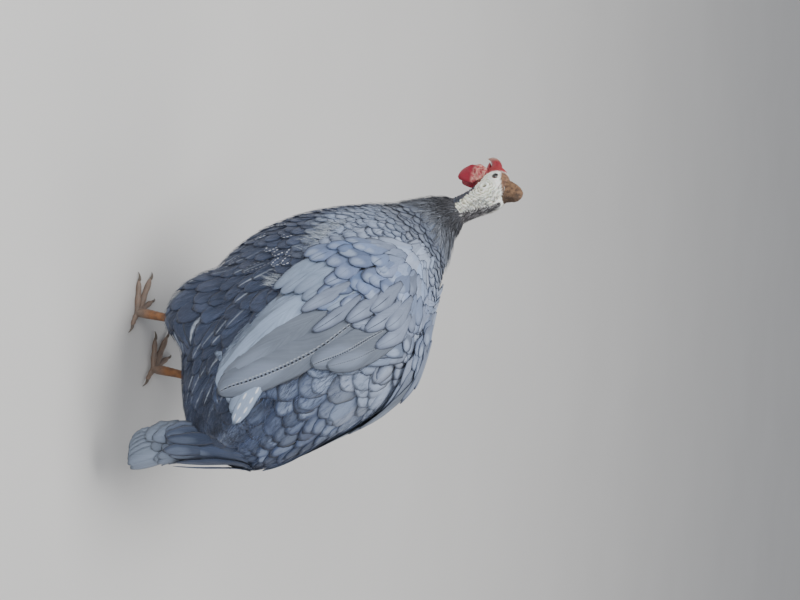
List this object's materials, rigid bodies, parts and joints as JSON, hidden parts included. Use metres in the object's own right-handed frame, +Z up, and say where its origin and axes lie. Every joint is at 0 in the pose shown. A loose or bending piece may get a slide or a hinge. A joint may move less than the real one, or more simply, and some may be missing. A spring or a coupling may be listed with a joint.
{
  "type": "guinea fowl",
  "caption": "Life-size standing helmeted guinea fowl, body sloping up to a bare-faced head with casque and wattles, wings folded, tail hanging, on flat-soled feet.",
  "frame": {"origin": "middle of the box round the bird, at floor level", "axes": "+Z up, the bird faces -Y, its left side is +X"},
  "size_m": [0.2128, 0.439, 0.3903],
  "materials": {
    "plumage": "soft slate-blue body feathers with pale spots",
    "neck_feathers": "charcoal bristly feathers",
    "wing_feathers": "smooth pale blue-grey feathers",
    "tail_feathers": "smooth blue-grey feathers",
    "bare_skin": "creamy bare skin, finely wrinkled",
    "red_skin": "crimson bare skin",
    "casque_horn": "rough brown horn",
    "bill_horn": "smooth red horn, paler at the tip",
    "eye": "wet dark eye",
    "scaled_skin": "scaled orange-brown and grey skin",
    "claw": "worn dark horn"
  },
  "bodies": {
    "root": {"torso": "plumage", "neck": "neck_feathers", "head": "bare_skin", "casque": "casque_horn", "bill_upper": "bill_horn", "bill_lower": "bill_horn", "tail": "tail_feathers", "wattle_left": "red_skin", "eye_left": "eye", "wing_left": "wing_feathers", "thigh_left": "plumage", "shank_left": "scaled_skin", "claw_left_inner": "claw", "claw_left_middle": "claw", "claw_left_outer": "claw", "claw_left_hind": "claw", "wattle_right": "red_skin", "eye_right": "eye", "wing_right": "wing_feathers", "thigh_right": "plumage", "shank_right": "scaled_skin", "claw_right_inner": "claw", "claw_right_middle": "claw", "claw_right_outer": "claw", "claw_right_hind": "claw"}
  },
  "joints": []
}
